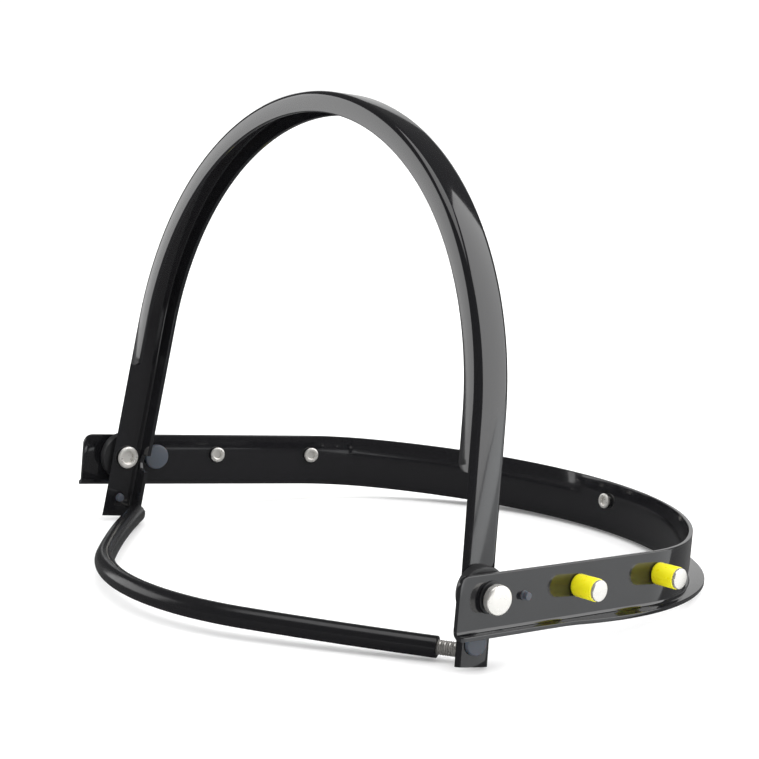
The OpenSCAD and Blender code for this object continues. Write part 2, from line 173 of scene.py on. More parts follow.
class ButtonSizes(bpy.types.PropertyGroup):
    """Sizes and places of the nylon buttons."""

    band_r: length("Band Radius", "Radius of the band's buttons", 4.7)
    band_t: length("Band Thickness", "Thickness of their heads", 2.0)
    band_at: length("Band Place", "Their distance along the band from the hinge axis", 15.5)
    band_drop: length("Band Drop", "Their depth below the hinge axis", 0.9)
    band_stem: length("Band Stem", "How far their stems pass the sheet", 0.5)
    band_nib: length("Band Nib", "Length of the nibs on those stems", 1.7)
    leg_r: length("Leg Radius", "Radius of the legs' buttons", 3.85)
    leg_t: length("Leg Thickness", "Thickness of their heads", 1.6)
    leg_drop: length("Leg Drop", "Their depth below the hinge axis", 16)
    leg_stem: length("Leg Stem", "How far their stems pass the sheet", 1.1)
    leg_nib: length("Leg Nib", "Length of the nibs on those stems", 0.6)
    stem_r: length("Stem Radius", "Radius of the stems", 1.6)
    nib_r: length("Nib Radius", "Radius of the nibs", 1.3)


class StudSizes(bpy.types.PropertyGroup):
    """Sizes of the visor studs."""

    sleeve_r: length("Sleeve Radius", "Outer radius of the sleeves", 3.8)
    sleeve_len: length("Sleeve Length", "Length of the sleeves", 8.7)
    shank_r: length("Shank Radius", "Radius of the rivets inside them", 2.0)
    cap_r: length("Cap Radius", "Radius of the rivets' caps", 3.55)
    cap_t: length("Cap Thickness", "Thickness of the rivets' caps", 1.2)
    flare_r: length("Flare Radius", "Radius of the rivets' rolled ends", 2.9)
    bore_r: length("Bore Radius", "Radius of the recesses in their rolled ends", 1.5)
    bore_depth: length("Bore Depth", "Depth of those recesses", 0.9)
    flare_t: length("Flare Thickness", "Thickness of the rolled ends", 1.0)
    flare_off: length("Flare Distance", "Their distance from the sheet", 0.8)
    rear_at: length("Rear Studs", "Their distance along the band from the hinges", 41)
    fore_at: length("Fore Studs", "Their distance along the band from the hinges", 81.5)


class BowSizes(bpy.types.PropertyGroup):
    """Sizes of the retaining bow."""

    middle_r: length("Middle Radius", "Radius of the bow's middle", 83)
    middle_angle: angle("Middle Angle", "Half of the middle's arc", 34.5)
    side_r: length("Side Radius", "Radius of the nearly straight sides", 660)
    tube_r: length("Tube Radius", "Outer radius of the plastic tube", 3.6)
    tube_bore: length("Tube Bore", "Inner radius of the plastic tube", 2.65)
    spring_r: length("Spring Radius", "Outer radius of the spring", 2.5)
    wire: length("Wire", "Diameter of the spring's wire", 0.8)
    bare_right: length("Bare Right", "Spring showing at the right end", 12.4)
    bare_left: length("Bare Left", "Spring showing at the left end", 4.4)
    hook_r: length("Hook Radius", "Mean radius of the hook loops", 2.4)
    hook_wire_r: length("Hook Wire", "Radius of the wire in the hook loops", 0.5)


class Finishes(bpy.types.PropertyGroup):
    """Colours of the finishes."""

    paint: colour("Black Paint", "Gloss paint on the sheet metal", 0.0075, 0.0075, 0.0085)
    nickel: colour("Nickel", "Plating of the rivets", 0.86, 0.84, 0.80)
    yellow: colour("Yellow", "The stud sleeves", 0.86, 0.78, 0.012)
    nylon: colour("Nylon", "The milky buttons", 0.058, 0.066, 0.083)
    plastic: colour("Black Plastic", "The washers, spacers and friction discs", 0.012, 0.012, 0.013)
    tube: colour("Tube", "The bow's plastic tube", 0.008, 0.008, 0.009)
    steel: colour("Spring Steel", "The bow's spring", 0.70, 0.68, 0.65)


SIZE_GROUPS = {
    "bracket_band": BandSizes,
    "bracket_arch": ArchSizes,
    "bracket_hinge": HingeSizes,
    "bracket_button": ButtonSizes,
    "bracket_stud": StudSizes,
    "bracket_bow": BowSizes,
    "bracket_finish": Finishes,
}


# ---- Finishes ----

def new_finish(name, base, roughness, metallic=0.0):
    """A material with a Principled shader, then that shader and the node tree."""
    finish = bpy.data.materials.new(name)
    finish.use_nodes = True
    tree = finish.node_tree
    shader = tree.nodes["Principled BSDF"]
    shader.inputs["Base Color"].default_value = (*base, 1.0)
    shader.inputs["Roughness"].default_value = roughness
    shader.inputs["Metallic"].default_value = metallic
    return finish, shader, tree


def add_texture(tree, per_metre, detail):
    """Noise that stays with the piece, at a number of spots per metre."""
    place = tree.nodes.new("ShaderNodeTexCoord")
    noise = tree.nodes.new("ShaderNodeTexNoise")
    noise.inputs["Scale"].default_value = per_metre
    noise.inputs["Detail"].default_value = detail
    tree.links.new(place.outputs["Object"], noise.inputs["Vector"])
    return noise


def add_ripple(tree, shader, noise, strength, depth):
    """Lets the noise ripple the surface."""
    bump = tree.nodes.new("ShaderNodeBump")
    bump.inputs["Strength"].default_value = strength
    bump.inputs["Distance"].default_value = depth
    tree.links.new(noise.outputs["Fac"], bump.inputs["Height"])
    tree.links.new(bump.outputs["Normal"], shader.inputs["Normal"])


def add_wear(tree, shader, noise, least, most):
    """Lets the noise vary the roughness between two values."""
    spread = tree.nodes.new("ShaderNodeMapRange")
    spread.inputs["From Min"].default_value = 0.35
    spread.inputs["From Max"].default_value = 0.65
    spread.inputs["To Min"].default_value = least
    spread.inputs["To Max"].default_value = most
    tree.links.new(noise.outputs["Fac"], spread.inputs["Value"])
    tree.links.new(spread.outputs["Result"], shader.inputs["Roughness"])


def black_paint(base):
    finish, shader, tree = new_finish("black paint", base, 0.1)
    shader.inputs["Coat Weight"].default_value = 0.6
    shader.inputs["Coat Roughness"].default_value = 0.04
    specks = add_texture(tree, per_metre=260.0, detail=2.0)
    add_wear(tree, shader, specks, least=0.08, most=0.13)
    waves = add_texture(tree, per_metre=90.0, detail=1.0)
    add_ripple(tree, shader, waves, strength=0.05, depth=0.0002)
    return finish


def bright_nickel(base):
    finish, shader, tree = new_finish("bright nickel", base, 0.3, metallic=0.8)
    noise = add_texture(tree, per_metre=700.0, detail=2.0)
    add_wear(tree, shader, noise, least=0.27, most=0.33)
    return finish


def yellow_plastic(base):
    finish, shader, tree = new_finish("yellow plastic", base, 0.3)
    shader.inputs["Subsurface Weight"].default_value = 0.12
    shader.inputs["Subsurface Scale"].default_value = 0.001
    noise = add_texture(tree, per_metre=500.0, detail=2.0)
    add_wear(tree, shader, noise, least=0.26, most=0.36)
    return finish


def milky_nylon(base):
    finish, shader, tree = new_finish("milky nylon", base, 0.4)
    shader.inputs["Subsurface Weight"].default_value = 0.35
    shader.inputs["Subsurface Scale"].default_value = 0.0015
    noise = add_texture(tree, per_metre=400.0, detail=2.0)
    add_wear(tree, shader, noise, least=0.34, most=0.46)
    return finish


def black_plastic(base):
    finish, shader, tree = new_finish("black plastic", base, 0.42)
    noise = add_texture(tree, per_metre=1500.0, detail=3.0)
    add_wear(tree, shader, noise, least=0.36, most=0.5)
    add_ripple(tree, shader, noise, strength=0.15, depth=0.00004)
    return finish


def black_tube(base):
    finish, shader, tree = new_finish("black tube", base, 0.22)
    noise = add_texture(tree, per_metre=400.0, detail=2.0)
    add_wear(tree, shader, noise, least=0.19, most=0.25)
    return finish


def spring_steel(base):
    finish, shader, tree = new_finish("spring steel", base, 0.3, metallic=0.85)
    noise = add_texture(tree, per_metre=700.0, detail=3.0)
    add_wear(tree, shader, noise, least=0.25, most=0.4)
    return finish


FINISH_MAKERS = {
    "black_paint": (black_paint, "paint"),
    "bright_nickel": (bright_nickel, "nickel"),
    "yellow_plastic": (yellow_plastic, "yellow"),
    "milky_nylon": (milky_nylon, "nylon"),
    "black_plastic": (black_plastic, "plastic"),
    "black_tube": (black_tube, "tube"),
    "spring_steel": (spring_steel, "steel"),
}
finishes = {}


def finish_for(slot):
    """The material of a slot, made when it is first asked for."""
    if slot not in finishes:
        maker, colour_name = FINISH_MAKERS[slot]
        finishes[slot] = maker(getattr(bpy.context.scene.bracket_finish, colour_name))
    return finishes[slot]


# ---- Making pieces ----

def add_piece(name, mesh, body, slot, nodes):
    """Puts a finished bmesh in the scene as a piece on a body, in place of its CAD nodes."""
    sharp = math.radians(32)
    for face in mesh.faces:
        face.smooth = True
    for edge in mesh.edges:
        if len(edge.link_faces) == 2 and edge.calc_face_angle(0.0) > sharp:
            edge.smooth = False
    name = name.replace(" ", "_")
    data = bpy.data.meshes.new(name)
    mesh.to_mesh(data)
    mesh.free()
    piece = bpy.data.objects.new(name, data)
    bpy.context.scene.collection.objects.link(piece)
    data.materials.append(finish_for(slot))
    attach(piece, body)
    if nodes:
        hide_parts(*nodes)


def rounded(corners):
    """A closed outline's points, from corners that each give x, y and a rounding radius."""
    points = []
    for i, (x, y, radius) in enumerate(corners):
        corner = Vector((x, y))
        back = (Vector(corners[i - 1][:2]) - corner).normalized()
        ahead = (Vector(corners[(i + 1) % len(corners)][:2]) - corner).normalized()
        if radius == 0.0:
            points.append(corner)
            continue
        half = back.angle(ahead) / 2
        centre = corner + (back + ahead).normalized() * (radius / math.sin(half))
        start = corner + back * (radius / math.tan(half)) - centre
        end = corner + ahead * (radius / math.tan(half)) - centre
        for step in range(ROUND_STEPS + 1):
            points.append(centre + start.slerp(end, step / ROUND_STEPS) * start.length)
    return points


def swept(rings):
    """A closed skin that starts as a face on the first ring and is extruded to each next one."""
    mesh = bmesh.new()
    first = mesh.faces.new([mesh.verts.new(point) for point in rings[0]])
    face = first
    for ring in rings[1:]:
        made = bmesh.ops.extrude_face_region(mesh, geom=[face])["geom"]
        if face is not first:
            bmesh.ops.delete(mesh, geom=[face], context="FACES_ONLY")
        face = next(item for item in made if isinstance(item, bmesh.types.BMFace))
        for vertex, point in zip(face.verts, ring):
            vertex.co = point
    open_edges = [edge for edge in mesh.edges if edge.is_boundary]
    if open_edges:
        bmesh.ops.holes_fill(mesh, edges=open_edges)
    bmesh.ops.recalc_face_normals(mesh, faces=mesh.faces)
    return mesh


def turned(corners, place, steps=64):
    """A closed outline of (radius, height, rounding) corners, turned about its height axis."""
    mesh = bmesh.new()
    outline = [mesh.verts.new((max(point.x, 0.0), 0, point.y)) for point in rounded(corners)]
    edges = [mesh.edges.new((a, b)) for a, b in zip(outline, outline[1:] + outline[:1])
             if a.co.x > 0 or b.co.x > 0]
    bmesh.ops.spin(
        mesh, geom=outline + edges, cent=(0, 0, 0), axis=(0, 0, 1),
        angle=math.tau, steps=steps, use_merge=True,
    )
    bmesh.ops.remove_doubles(mesh, verts=mesh.verts, dist=0.001 * MM)
    bmesh.ops.recalc_face_normals(mesh, faces=mesh.faces)
    bmesh.ops.transform(mesh, matrix=place, verts=mesh.verts)
    return mesh


def facing(point, outward):
    """A placement at a point, with +Z along the outward direction."""
    return Matrix.Translation(point) @ Vector(outward).to_track_quat("Z", "Y").to_matrix().to_4x4()


# ---- Visor band ----

class BandPath:
    """The band's outer face seen from above, from the middle of the front to the right tail."""

    def __init__(self, size):
        self.size = size
        self.side = math.pi / 2 - size.flank_angle
        self.front_x = size.front_r * math.sin(size.front_angle)
        self.front_y = size.reach - size.front_r * (1 - math.cos(size.front_angle))
        self.corner_x, self.corner_y, _ = self.corner(self.side)
        self.corner_start = self.corner_y / math.cos(size.flank_angle)
        self.hinge_x = self.corner_x + self.corner_y * math.tan(size.flank_angle)

    def front(self, a):
        size = self.size
        return size.front_r * math.sin(a), size.reach - size.front_r * (1 - math.cos(a)), a

    def corner(self, a):
        size = self.size
        x = self.front_x + size.corner_r * (math.sin(a) - math.sin(size.front_angle))
        y = self.front_y - size.corner_r * (math.cos(size.front_angle) - math.cos(a))
        return x, y, a

    def at(self, s):
        """The place at s along the outer face from the hinge axis."""
        flank = self.size.flank_angle
        if s > self.corner_start:
            return self.corner(self.side - (s - self.corner_start) / self.size.corner_r)
        return self.hinge_x - s * math.sin(flank), s * math.cos(flank), self.side

    def half(self):
        """(s, place) stops from the middle of the front to the end of the right tail."""
        size = self.size
        turn = self.side - size.front_angle
        long_way = self.corner_start + size.corner_r * turn
        places = [(long_way + size.front_r * size.front_angle * (1 - i / 36),
                   self.front(size.front_angle * i / 36)) for i in range(37)]
        flank = [long_way - size.corner_r * turn * i / 16 for i in range(1, 17)]
        flank += [self.corner_start * (1 - i / 16) for i in range(1, 17)]
        tail = [self.tail_stop(size.tail_round, math.pi / 2 * i / 8) for i in range(9)]
        tail += [self.tail_stop(size.heel_round, math.pi / 2 * i / 4) for i in range(1, 5)]
        flank += sorted(set(tail), reverse=True)
        return places + [(s, self.at(s)) for s in flank]

    def tail_stop(self, radius, a):
        """A stop on a rounded corner of the tail's end."""
        return round(radius * (1 - math.sin(a)) - self.size.tail, 7)


def corner_loss(s, end, radius):
    """How much a rounded corner takes off the height at s, for an edge that ends at end."""
    past = end + radius - s
    if past <= 0:
        return 0.0
    return radius - math.sqrt(max(radius * radius - past * past, 0.0))


def lip_width(size, place):
    """The hem's width, or out to the front lip's arc where that is wider."""
    x, y, a = place
    out = Vector((math.sin(a), math.cos(a)))
    away = Vector((x, y - size.lip_centre))
    along = away.dot(out)
    inside = size.lip_r ** 2 - away.length_squared
    reach = math.sqrt(along * along + inside) - along if inside > 0 else 0.0
    return max(size.hem, reach)


def band_section(size, stop):
    """The band's section at a stop as (out, up) points."""
    s, place = stop
    lip = lip_width(size, place)
    outer_bend = size.bend + size.sheet
    top = size.above - corner_loss(s, -size.tail, size.tail_round)
    lip -= corner_loss(s, -size.tail, size.heel_round)
    low = -size.below
    return rounded([
        (0.0, top, size.edge), (0.0, low + size.sheet, size.bend),
        (lip, low + size.sheet, size.edge), (lip, low, size.edge),
        (-size.sheet, low, outer_bend), (-size.sheet, top, size.edge),
    ])


def band_ring(size, stop):
    x, y, a = stop[1]
    out = Vector((math.sin(a), math.cos(a), 0.0))
    points = band_section(size, stop)
    return [IN_BAND @ (Vector((x, y, p.y)) + out * p.x) for p in points]


class BRACKET_OT_band(bpy.types.Operator):
    """Make the visor band with its turned-out hem and front lip"""

    bl_idname = "bracket.band"
    bl_label = "Visor Band"

    def execute(self, context):
        size = context.scene.bracket_band
        right = BandPath(size).half()
        left = [(s, (-x, y, -a)) for s, (x, y, a) in reversed(right[1:])]
        rings = [band_ring(size, stop) for stop in left + right]
        add_piece("band sheet", swept(rings), "band", "black_paint", ["visor_band"])
        return {"FINISHED"}


# ---- Helmet arch ----

class ArchPath:
    """The arch's outer face seen from behind: (x, z, angle) places from the crown down."""

    def __init__(self, size):
        self.size = size
        self.leg = math.pi / 2 - size.splay
        self.crown_x, self.crown_z, _ = self.crown(size.crown_angle)
        self.leg_top_x, self.leg_top_z, _ = self.shoulder(self.leg)

    def crown(self, a):
        size = self.size
        return size.crown_r * math.sin(a), size.height - size.crown_r * (1 - math.cos(a)), a

    def shoulder(self, a):
        size = self.size
        x = self.crown_x + size.shoulder_r * (math.sin(a) - math.sin(size.crown_angle))
        z = self.crown_z - size.shoulder_r * (math.cos(size.crown_angle) - math.cos(a))
        return x, z, a

    def leg_at(self, z):
        return self.leg_top_x + (self.leg_top_z - z) * math.tan(self.size.splay), z, self.leg


def channel_section(size, rear_depth, fore_depth):
    """The channel's section as (out, ahead) points, with each flange cut to its own depth."""
    fore, rear, sheet = size.fore, -size.rear, size.sheet
    inner_bend = size.bend - sheet
    points = rounded([
        (-fore_depth, fore, size.edge), (0.0, fore, size.bend),
        (0.0, rear, size.bend), (-size.depth, rear, size.edge),
        (-size.depth, rear + sheet, size.edge), (-sheet, rear + sheet, inner_bend),
        (-sheet, fore - sheet, inner_bend), (-fore_depth, fore - sheet, size.edge),
    ])
    return [Vector((max(p.x, -rear_depth), p.y)) if p.y < 0 else p for p in points]


def channel_ring(size, place, rear_depth, fore_depth):
    x, z, a = place
    points = channel_section(size, rear_depth, fore_depth)
    return [IN_ARCH @ Vector((x + p.x * math.sin(a), p.y, z + p.x * math.cos(a)))
            for p in points]


def arch_half(size):
    """(place, rear flange depth, fore flange depth) from the crown to the right leg's end."""
    path = ArchPath(size)
    full = size.depth
    turn = path.leg - size.crown_angle
    run = [(path.crown(size.crown_angle * i / 24), full, full) for i in range(25)]
    run += [(path.shoulder(size.crown_angle + turn * i / 32), full, full)
            for i in range(1, 33)]
    radius = size.flange_round
    for i in range(9):
        a = math.pi / 2 * i / 8
        z = size.flange_end + radius * (1 - math.sin(a))
        run.append((path.leg_at(z), full - radius * (1 - math.cos(a)), full))
    run.append((path.leg_at(size.flange_end), size.sheet, full))
    notch_z = -size.notch_drop
    run.append((path.leg_at(notch_z + size.notch_r), size.sheet, full))
    for i in range(17):
        a = math.pi * i / 16
        z = notch_z + size.notch_r * math.cos(a)
        run.append((path.leg_at(z), size.sheet,
                    full - size.notch_in - size.notch_r * math.sin(a)))
    run.append((path.leg_at(notch_z - size.notch_r), size.sheet, full))
    run.append((path.leg_at(-size.below), size.sheet, full))
    return run


class BRACKET_OT_arch(bpy.types.Operator):
    """Make the channel arch that goes over the helmet's crown"""

    bl_idname = "bracket.arch"
    bl_label = "Helmet Arch"

    def execute(self, context):
        size = context.scene.bracket_arch
        right = arch_half(size)
        left = [((-x, z, -a), rear, fore) for (x, z, a), rear, fore in reversed(right[1:])]
        rings = [channel_ring(size, *stop) for stop in left + right]
        add_piece("arch channel", swept(rings), "arch", "black_paint", ["helmet_arch"])
        return {"FINISHED"}


# ---- Hinges and buttons ----

SIDES = (("right", 1), ("left", -1))


def on_axis(side):
    """A placement on the hinge axis, with +Z pointing outwards on that side."""
    return IN_BAND @ facing((0, 0, 0), (side, 0, 0))


def on_band(band, along, side, drop=0.0):
    """A placement on the band's outer face, with +Z pointing squarely out of it."""
    x, y, a = BandPath(band).at(along)
    return IN_BAND @ facing((side * x, y, -drop), (side * math.sin(a), math.cos(a), 0))


def ring_corners(bore, radius, low, high, edge):
    """Corners of a flat ring with softened edges."""
    return [(bore, low, 0.0), (radius, low, edge), (radius, high, edge), (bore, high, 0.0)]


def hinge_rivet(size, flare_top, head_at):
    """Corners of the rivet: a rolled end, the shank and a domed head."""
    bore_edge = 0.35 * MM
    roll = 0.5 * MM
    head_edge = 0.15 * MM
    head_rim = 0.7 * MM
    dome_round = 2 * MM
    low = flare_top - size.flare_t
    head_top = head_at + size.head_t
    bore_end = low + size.bore_depth
    knee_r = 0.6 * size.head_r
    knee_at = head_top + 0.6 * size.dome
    return [
        (0.0, bore_end, 0.0), (size.bore_r, bore_end, 0.0),
        (size.bore_r, low, bore_edge), (size.flare_r, low, roll),
        (size.flare_r, flare_top, roll), (size.shank_r, flare_top, 0.0),
        (size.shank_r, head_at, 0.0), (size.head_r, head_at, head_edge),
        (size.head_r, head_top, head_rim), (knee_r, knee_at, dome_round),
        (0.0, head_top + size.dome, 0.0),
    ]


class BRACKET_OT_hinges(bpy.types.Operator):
    """Make the hinge rivets, washers, spacers and friction discs"""

    bl_idname = "bracket.hinges"
    bl_label = "Hinges"

    def execute(self, context):
        size = context.scene.bracket_hinge
        band = context.scene.bracket_band
        arch = context.scene.bracket_arch
        leg_face = ArchPath(arch).leg_at(0.0)[0]
        washer_edge = 0.2 * MM
        spacer_edge = 0.15 * MM
        disc_edge = 0.8 * MM
        disc_spare = 4 * MM  # the inner side, which the leg's slant then cuts off
        flank = band.flank_angle
        hinge_x = BandPath(band).hinge_x
        spacer_at = 2 * SEAT + size.washer_t
        spacer_reach = (spacer_at + size.spacer_t) * math.cos(flank)
        head_at = hinge_x + spacer_reach + size.spacer_r * math.sin(flank) + SEAT
        flare_drop = size.flare_r * math.tan(arch.splay) + arch.sheet / math.cos(arch.splay)
        flare_top = leg_face - flare_drop - SEAT
        bore = size.shank_r + FIT
        wide_bore = size.shank_r + size.tilt_room
        disc_room = size.disc_r * math.tan(flank) + band.sheet / math.cos(flank)
        disc_top = hinge_x - disc_room - SEAT
        for side_name, side in SIDES:
            place = on_axis(side)
            flat = on_band(band, 0.0, side)
            rivet = turned(hinge_rivet(size, flare_top, head_at), place)
            add_piece(f"rivet of {side_name} hinge", rivet, "arch", "bright_nickel",
                      [f"hinge_rivet_{side_name}"])
            washer = ring_corners(wide_bore, size.washer_r, SEAT,
                                  SEAT + size.washer_t, washer_edge)
            add_piece(f"washer of {side_name} hinge", turned(washer, flat), "band",
                      "black_plastic", [f"hinge_washer_{side_name}"])
            spacer = ring_corners(wide_bore, size.spacer_r, spacer_at,
                                  spacer_at + size.spacer_t, spacer_edge)
            add_piece(f"spacer of {side_name} hinge", turned(spacer, flat), "band",
                      "black_plastic", [f"hinge_spacer_{side_name}"])
            disc = ring_corners(bore, size.disc_r, leg_face - disc_spare, disc_top, disc_edge)
            mesh = turned(disc, IN_BAND.inverted() @ place)
            leg_out = Vector((side * math.cos(arch.splay), 0, math.sin(arch.splay)))
            inner = Vector((side * (leg_face + SEAT), 0, 0))
            whole = mesh.verts[:] + mesh.edges[:] + mesh.faces[:]
            cut = bmesh.ops.bisect_plane(mesh, geom=whole, plane_co=inner,
                                         plane_no=-leg_out, clear_outer=True)
            rim = [item for item in cut["geom_cut"] if isinstance(item, bmesh.types.BMEdge)]
            bmesh.ops.bridge_loops(mesh, edges=rim)
            bmesh.ops.recalc_face_normals(mesh, faces=mesh.faces)
            bmesh.ops.transform(mesh, matrix=IN_ARCH, verts=mesh.verts)
            add_piece(f"disc of {side_name} hinge", mesh, "arch", "black_plastic",
                      [f"friction_disc_{side_name}"])
        return {"FINISHED"}


def button_corners(size, radius, thickness, through, nib):
    """Corners of a button: the head, a stem through the sheet and a thinner nib beyond."""
    nib_edge = 0.15 * MM
    stem_edge = 0.2 * MM
    under_edge = 0.3 * MM
    head_edge = 0.5 * MM
    return [
        (0.0, -through - nib, 0.0), (size.nib_r, -through - nib, nib_edge),
        (size.nib_r, -through, stem_edge), (size.stem_r, -through, stem_edge),
        (size.stem_r, SEAT, 0.0), (radius, SEAT, under_edge),
        (radius, SEAT + thickness, head_edge), (0.0, SEAT + thickness, 0.0),
    ]


class BRACKET_OT_buttons(bpy.types.Operator):
    """Make the nylon buttons on the band and on the arch's legs"""

    bl_idname = "bracket.buttons"
    bl_label = "Buttons"

    def execute(self, context):
        size = context.scene.bracket_button
        band = context.scene.bracket_band
        arch = context.scene.bracket_arch
        leg_x, leg_z, _ = ArchPath(arch).leg_at(-size.leg_drop)
        for side_name, side in SIDES:
            corners = button_corners(size, size.band_r, size.band_t,
                                     band.sheet + size.band_stem, size.band_nib)
            inward = Matrix.Translation((0, 0, -band.sheet)) @ Matrix.Rotation(math.pi, 4, "X")
            place = on_band(band, size.band_at, side, size.band_drop)
            mesh = turned(corners, place @ inward)
            add_piece(f"button on {side_name} of band", mesh, "band", "milky_nylon",
                      [f"band_button_{side_name}"])
            outward = (side * math.cos(arch.splay), 0, math.sin(arch.splay))
            corners = button_corners(size, size.leg_r, size.leg_t,
                                     arch.sheet + size.leg_stem, size.leg_nib)
            mesh = turned(corners, IN_ARCH @ facing((side * leg_x, 0, leg_z), outward))
            add_piece(f"button on {side_name} leg", mesh, "arch", "milky_nylon",
                      [f"leg_button_{side_name}"])
        return {"FINISHED"}


# ---- Visor studs ----

def sleeve_corners(size):
    base_round = 0.9 * MM
    end_edge = 0.25 * MM
    top = SEAT + size.sleeve_len
    return [
        (size.shank_r + FIT, SEAT, 0.0), (size.sleeve_r, SEAT, base_round),
        (size.sleeve_r, top, end_edge), (size.shank_r + FIT, top, 0.0),
    ]


def stud_rivet_corners(size, sheet):
    """Corners of the rivet: a rolled tubular end behind the sheet, the shank and a flat cap."""
    bore_edge = 0.3 * MM
    roll = 0.45 * MM
    shank_edge = 0.2 * MM
    cap_under = 0.15 * MM
    cap_edge = 0.35 * MM
    flare_top = -sheet - SEAT - size.flare_off
    low = flare_top - size.flare_t
    cap = size.sleeve_len + 2 * SEAT
    bore_end = low + size.bore_depth
    return [
        (0.0, bore_end, 0.0), (size.bore_r, bore_end, 0.0),
        (size.bore_r, low, bore_edge), (size.flare_r, low, roll),
        (size.flare_r, flare_top, roll), (size.shank_r, flare_top, shank_edge),
        (size.shank_r, cap, 0.0), (size.cap_r, cap, cap_under),
        (size.cap_r, cap + size.cap_t, cap_edge), (0.0, cap + size.cap_t, 0.0),
    ]


class BRACKET_OT_studs(bpy.types.Operator):
    """Make the visor studs: a yellow sleeve on a plated rivet each"""

    bl_idname = "bracket.studs"
    bl_label = "Visor Studs"

    def execute(self, context):
        size = context.scene.bracket_stud
        band = context.scene.bracket_band
        path = BandPath(band)
        places = {"front": (0.0, band.reach, 0.0)}
        for stop, along in (("rear", size.rear_at), ("fore", size.fore_at)):
            x, y, a = path.at(along)
            places[f"{stop}_right"] = (x, y, a)
            places[f"{stop}_left"] = (-x, y, -a)
        for stop, (x, y, a) in places.items():
            place = IN_BAND @ facing((x, y, 0), (math.sin(a), math.cos(a), 0))
            words = stop.replace("_", " ")
            add_piece(f"sleeve of {words} stud", turned(sleeve_corners(size), place), "band",
                      "yellow_plastic", [f"stud_sleeve_{stop}"])
            rivet = turned(stud_rivet_corners(size, band.sheet), place)
            add_piece(f"rivet of {words} stud", rivet, "band", "bright_nickel",
                      [f"stud_rivet_{stop}"])
        return {"FINISHED"}


# ---- Retaining bow ----

class BowPath:
    """The bow's middle line seen from above, with the hooks on y = 0 and its middle at -y."""

    def __init__(self, size):
        self.size = size
        self.hook_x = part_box("bow_spring")[1][0] - size.hook_r - size.hook_wire_r
        self.middle_x = size.middle_r * math.sin(size.middle_angle)
        reach = (self.hook_x - self.middle_x) / size.side_r
        self.end = math.asin(math.sin(size.middle_angle) + reach)
        rise = size.middle_r * (1 - math.cos(size.middle_angle))
        side_rise = size.side_r * (math.cos(size.middle_angle) - math.cos(self.end))
        self.back = -rise - side_rise
        self.side_y = self.back + rise

    def middle(self, a):
        r = self.size.middle_r
        return r * math.sin(a), self.back + r * (1 - math.cos(a)), a

    def side(self, a):
        r, start = self.size.side_r, self.size.middle_angle
        x = self.middle_x + r * (math.sin(a) - math.sin(start))
        return x, self.side_y + r * (math.cos(start) - math.cos(a)), a

    def short_of_hook(self, gap):
        """The place on the right-hand side that is this far short of the hook."""
        return self.side(self.end - gap / self.size.side_r)

    def half(self, gap, steps=28):
        """Places from the middle to a gap short of the right-hand hook."""
        start = self.size.middle_angle
        turn = self.end - gap / self.size.side_r - start
        places = [self.middle(start * i / steps) for i in range(steps + 1)]
        return places + [self.side(start + turn * i / 12) for i in range(1, 13)]


def bow_ring(place, radius, sides=32):
    """A circle square to the bow's line at a place."""
    x, y, a = place
    out = Vector((math.sin(a), -math.cos(a), 0.0))
    up = Vector((0.0, 0.0, 1.0))
    turns = [math.tau * i / sides for i in range(sides)]
    centre = Vector((x, y, 0.0))
    return [IN_BOW @ (centre + radius * (out * math.cos(t) + up * math.sin(t))) for t in turns]


class BRACKET_OT_tube(bpy.types.Operator):
    """Make the plastic tube on the bow's spring"""

    bl_idname = "bracket.tube"
    bl_label = "Bow Tube"

    def execute(self, context):
        size = context.scene.bracket_bow
        path = BowPath(size)
        left = [(-x, y, -a) for x, y, a in reversed(path.half(size.bare_left)[1:])]
        places = left + path.half(size.bare_right)
        mesh = swept([bow_ring(place, size.tube_r) for place in places])
        rim = 0.2 * MM
        rim_rise = 0.12 * MM
        mouth = 0.1 * MM
        bore_depth = 6 * MM
        caps = [face for face in mesh.faces if len(face.verts) > 4]
        for cap in caps:
            inward = -cap.normal.copy()
            bmesh.ops.inset_region(mesh, faces=[cap], thickness=rim, depth=rim_rise)
            wall = size.tube_r - size.tube_bore - rim - mouth
            bmesh.ops.inset_region(mesh, faces=[cap], thickness=wall, depth=0.0)
            bmesh.ops.inset_region(mesh, faces=[cap], thickness=mouth, depth=-mouth)
            made = bmesh.ops.extrude_face_region(mesh, geom=[cap])["geom"]
            deep = [item for item in made if isinstance(item, bmesh.types.BMVert)]
            bmesh.ops.translate(mesh, verts=deep, vec=inward * bore_depth)
        add_piece("tube of bow", mesh, "bow", "black_tube", ["bow_tube"])
        return {"FINISHED"}


def wire_mesh(points, radius):
    """A round wire along a row of points, as a mesh."""
    curve = bpy.data.curves.new("wire", "CURVE")
    curve.dimensions = "3D"
    curve.bevel_depth = radius
    curve.bevel_resolution = 2
    curve.use_fill_caps = True
    line = curve.splines.new("POLY")
    line.points.add(len(points) - 1)
    for stop, point in zip(line.points, points):
        stop.co = (*point, 1.0)
    holder = bpy.data.objects.new("wire", curve)
    bpy.context.scene.collection.objects.link(holder)
    bpy.context.view_layer.update()
    data = bpy.data.meshes.new_from_object(holder)
    bpy.data.objects.remove(holder)
    mesh = bmesh.new()
    mesh.from_mesh(data)
    bpy.data.meshes.remove(data)
    bmesh.ops.recalc_face_normals(mesh, faces=mesh.faces)
    return mesh


